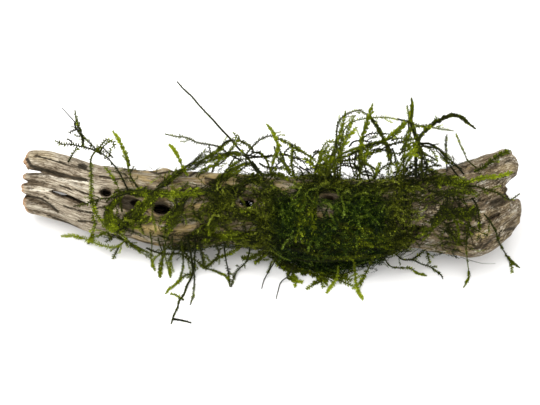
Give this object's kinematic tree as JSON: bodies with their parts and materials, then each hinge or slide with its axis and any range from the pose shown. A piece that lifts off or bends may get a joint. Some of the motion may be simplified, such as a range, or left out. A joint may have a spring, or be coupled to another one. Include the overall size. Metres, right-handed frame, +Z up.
{
  "type": "java moss on cholla wood",
  "caption": "Hollow, holed stick of cactus wood wrapped in felted moss, with long leafy moss stems reaching out, for dressing a water tank.",
  "frame": {"origin": "on the flat underside of the moss mat, half way along the stick, where it lies on the surface", "axes": "+X along the stick towards its flared end, +Z up, +Y away from the viewer of the picture"},
  "size_m": [0.1525, 0.0684, 0.0336],
  "materials": {
    "cholla_wood": "dry, weathered, grey-tan with dark grain and orange-brown tips",
    "moss_mat": "matt felt of small leaves, olive to dark green",
    "moss_stem": "leafy, yellow-green tips on dark stems"
  },
  "bodies": {
    "root": {"cholla_wood": "cholla_wood", "moss_mat": "moss_mat", "moss_patch": "moss_mat", "stem_left_tall": "moss_stem", "stem_left_hair": "moss_stem", "stem_left_fork": "moss_stem", "stem_left_drop": "moss_stem", "stem_left_loop": "moss_stem", "stem_left_hanging": "moss_stem", "stem_left_spear": "moss_stem", "stem_across_wood": "moss_stem", "stem_diagonal_bundle": "moss_stem", "stem_middle_spear": "moss_stem", "stem_high_branch": "moss_stem", "stem_long_whip": "moss_stem", "stem_first_arch": "moss_stem", "stem_middle_tip": "moss_stem", "stem_middle_fall": "moss_stem", "stem_tuft_left": "moss_stem", "stem_tuft_middle": "moss_stem", "stem_tuft_right": "moss_stem", "stem_outer_arch": "moss_stem", "stem_inner_arch": "moss_stem", "stem_slanting_tip": "moss_stem", "stem_leafy_diagonal": "moss_stem", "stem_tall_tip": "moss_stem", "stem_right_arch": "moss_stem", "stem_right_reach": "moss_stem", "stem_right_upright": "moss_stem", "stem_right_hook": "moss_stem", "stem_right_ridge": "moss_stem", "stem_right_bright": "moss_stem", "stem_right_trail": "moss_stem", "stem_low_left_trail": "moss_stem", "stem_low_left_twig": "moss_stem", "stem_right_low": "moss_stem", "stem_right_hanging": "moss_stem", "stem_low_far_right": "moss_stem", "stem_low_hair": "moss_stem", "stem_low_stem": "moss_stem", "stem_low_whip": "moss_stem", "stem_low_whip_twig": "moss_stem", "stem_low_left_tip": "moss_stem", "stem_low_cluster": "moss_stem", "stem_low_middle": "moss_stem", "stem_low_slant": "moss_stem", "stem_low_twig": "moss_stem", "stem_clump_left_tip": "moss_stem", "stem_clump_tip": "moss_stem", "stem_clump_right_tip": "moss_stem", "stem_clump_far_tip": "moss_stem"}
  },
  "joints": []
}
